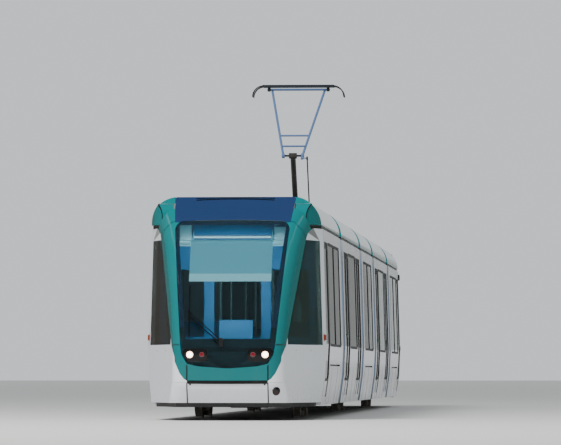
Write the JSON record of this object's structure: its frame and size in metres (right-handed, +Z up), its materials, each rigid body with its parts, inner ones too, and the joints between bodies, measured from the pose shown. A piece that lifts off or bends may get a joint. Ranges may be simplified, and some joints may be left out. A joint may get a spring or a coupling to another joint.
{
  "type": "low-floor tram",
  "caption": "Low-floor articulated tram with teal front surround and roof fairings, pale body, hinged modules, swivelling bogies and a folding roof pantograph.",
  "frame": {"origin": "on the tram's middle line, halfway along it, at the height of the wheel flanges' lowest points, 25 mm under the rail head", "axes": "+X towards the front cab, +Y to the tram's left, +Z up"},
  "size_m": [32.5762, 2.6606, 5.908],
  "materials": {
    "body_white": "glossy light grey-white paint",
    "door_white": "glossy light grey-white paint",
    "teal_paint": "glossy teal paint",
    "screen_glass": "blue-tinted windscreen, black below",
    "window_glass": "dark tinted glass",
    "interior_grey": "matte moulded plastic",
    "lamp_lens": "clear and red lenses in black housings",
    "trim_black": "satin black",
    "bellows_fabric": "coated pleated fabric",
    "underframe": "dark satin paint",
    "bogie_steel": "dark satin paint with dust",
    "wheel_steel": "turned steel, brown with dust",
    "panto_grey": "satin dark grey paint",
    "panto_blue": "satin blue-grey paint"
  },
  "bodies": {
    "centre": {"floor_centre": "underframe", "shell_centre": "body_white", "covers_centre": "teal_paint", "glass_centre": "window_glass", "interior_centre": "interior_grey", "bellows_2": "bellows_fabric", "bellows_3": "bellows_fabric", "pantograph_base": "panto_grey"},
    "mid_front": {"floor_mid_front": "underframe", "shell_mid_front": "body_white", "covers_mid_front": "teal_paint", "glass_mid_front": "window_glass", "doors_mid_front": "door_white", "interior_mid_front": "interior_grey", "bellows_1": "bellows_fabric"},
    "mid_rear": {"floor_mid_rear": "underframe", "shell_mid_rear": "body_white", "covers_mid_rear": "teal_paint", "glass_mid_rear": "window_glass", "doors_mid_rear": "door_white", "interior_mid_rear": "interior_grey", "bellows_4": "bellows_fabric"},
    "front": {"floor_front": "underframe", "shell_front": "body_white", "covers_front": "teal_paint", "mask_front": "teal_paint", "bumper_front": "body_white", "windscreen_front": "screen_glass", "glass_front": "window_glass", "doors_front": "door_white", "interior_front": "interior_grey", "lamps_front": "lamp_lens", "wiper_front": "trim_black"},
    "rear": {"floor_rear": "underframe", "shell_rear": "body_white", "covers_rear": "teal_paint", "mask_rear": "teal_paint", "bumper_rear": "body_white", "windscreen_rear": "screen_glass", "glass_rear": "window_glass", "doors_rear": "door_white", "interior_rear": "interior_grey", "lamps_rear": "lamp_lens", "wiper_rear": "trim_black"},
    "bogie_front": {"bogie_front": "bogie_steel"},
    "bogie_centre": {"bogie_centre": "bogie_steel"},
    "bogie_rear": {"bogie_rear": "bogie_steel"},
    "wheelset_1": {"wheelset_1": "wheel_steel"},
    "wheelset_2": {"wheelset_2": "wheel_steel"},
    "wheelset_3": {"wheelset_3": "wheel_steel"},
    "wheelset_4": {"wheelset_4": "wheel_steel"},
    "wheelset_5": {"wheelset_5": "wheel_steel"},
    "wheelset_6": {"wheelset_6": "wheel_steel"},
    "pantograph_lower_arm": {"pantograph_lower_arm": "trim_black"},
    "pantograph_upper_arm": {"pantograph_upper_arm": "panto_blue"},
    "pantograph_head": {"pantograph_head": "trim_black"},
    "pantograph_control_rod": {"pantograph_control_rod": "panto_grey"}
  },
  "joints": [
    {"name": "articulation_mid_front", "type": "hinge", "parent": "centre", "child": "mid_front", "pos_m": [2.45, 0, 0.26], "axis": [0, 0, 1], "range_deg": [-12, 12], "deforming": ["bellows_2"]},
    {"name": "articulation_mid_rear", "type": "hinge", "parent": "centre", "child": "mid_rear", "pos_m": [-2.45, 0, 0.26], "axis": [0, 0, 1], "range_deg": [-12, 12], "deforming": ["bellows_3"]},
    {"name": "articulation_front", "type": "hinge", "parent": "mid_front", "child": "front", "pos_m": [9, 0, 0.26], "axis": [0, 0, 1], "range_deg": [-12, 12], "deforming": ["bellows_1"]},
    {"name": "articulation_rear", "type": "hinge", "parent": "mid_rear", "child": "rear", "pos_m": [-9, 0, 0.26], "axis": [0, 0, 1], "range_deg": [-12, 12], "deforming": ["bellows_4"]},
    {"name": "bogie_front_swivel", "type": "hinge", "parent": "front", "child": "bogie_front", "pos_m": [11.2, 0, 0.35], "axis": [0, 0, 1], "range_deg": [-4, 4]},
    {"name": "bogie_centre_swivel", "type": "hinge", "parent": "centre", "child": "bogie_centre", "pos_m": [0, 0, 0.35], "axis": [0, 0, 1], "range_deg": [-4, 4]},
    {"name": "bogie_rear_swivel", "type": "hinge", "parent": "rear", "child": "bogie_rear", "pos_m": [-11.2, 0, 0.35], "axis": [0, 0, 1], "range_deg": [-4, 4]},
    {"name": "axle_1", "type": "hinge", "parent": "bogie_front", "child": "wheelset_1", "pos_m": [12, 0, 0.32], "axis": [0, 1, 0], "continuous": true},
    {"name": "axle_2", "type": "hinge", "parent": "bogie_front", "child": "wheelset_2", "pos_m": [10.4, 0, 0.32], "axis": [0, 1, 0], "continuous": true},
    {"name": "axle_3", "type": "hinge", "parent": "bogie_centre", "child": "wheelset_3", "pos_m": [0.8, 0, 0.32], "axis": [0, 1, 0], "continuous": true},
    {"name": "axle_4", "type": "hinge", "parent": "bogie_centre", "child": "wheelset_4", "pos_m": [-0.8, 0, 0.32], "axis": [0, 1, 0], "continuous": true},
    {"name": "axle_5", "type": "hinge", "parent": "bogie_rear", "child": "wheelset_5", "pos_m": [-10.4, 0, 0.32], "axis": [0, 1, 0], "continuous": true},
    {"name": "axle_6", "type": "hinge", "parent": "bogie_rear", "child": "wheelset_6", "pos_m": [-12, 0, 0.32], "axis": [0, 1, 0], "continuous": true},
    {"name": "pantograph_raise", "type": "hinge", "parent": "centre", "child": "pantograph_lower_arm", "pos_m": [-0.3, 0, 3.38], "axis": [0, 1, 0], "range_deg": [0, 42]},
    {"name": "pantograph_knee", "type": "hinge", "parent": "pantograph_lower_arm", "child": "pantograph_upper_arm", "pos_m": [0.8, 0, 4.55], "axis": [0, 1, 0], "range_deg": [-75.1, 0.1]},
    {"name": "pantograph_head_level", "type": "hinge", "parent": "pantograph_upper_arm", "child": "pantograph_head", "pos_m": [-0.9, 0, 5.83], "axis": [0, 1, 0], "range_deg": [-0.1, 33.1]},
    {"name": "pantograph_rod", "type": "hinge", "parent": "centre", "child": "pantograph_control_rod", "pos_m": [0.044, 0, 3.424], "axis": [0, 1, 0], "range_deg": [-0.1, 46.3]}
  ],
  "couplings": [
    {"joint": "pantograph_knee", "follows": "pantograph_raise", "ratio": -1.7857},
    {"joint": "pantograph_head_level", "follows": "pantograph_raise", "ratio": 0.78571},
    {"joint": "pantograph_rod", "follows": "pantograph_raise", "ratio": 1.1}
  ]
}
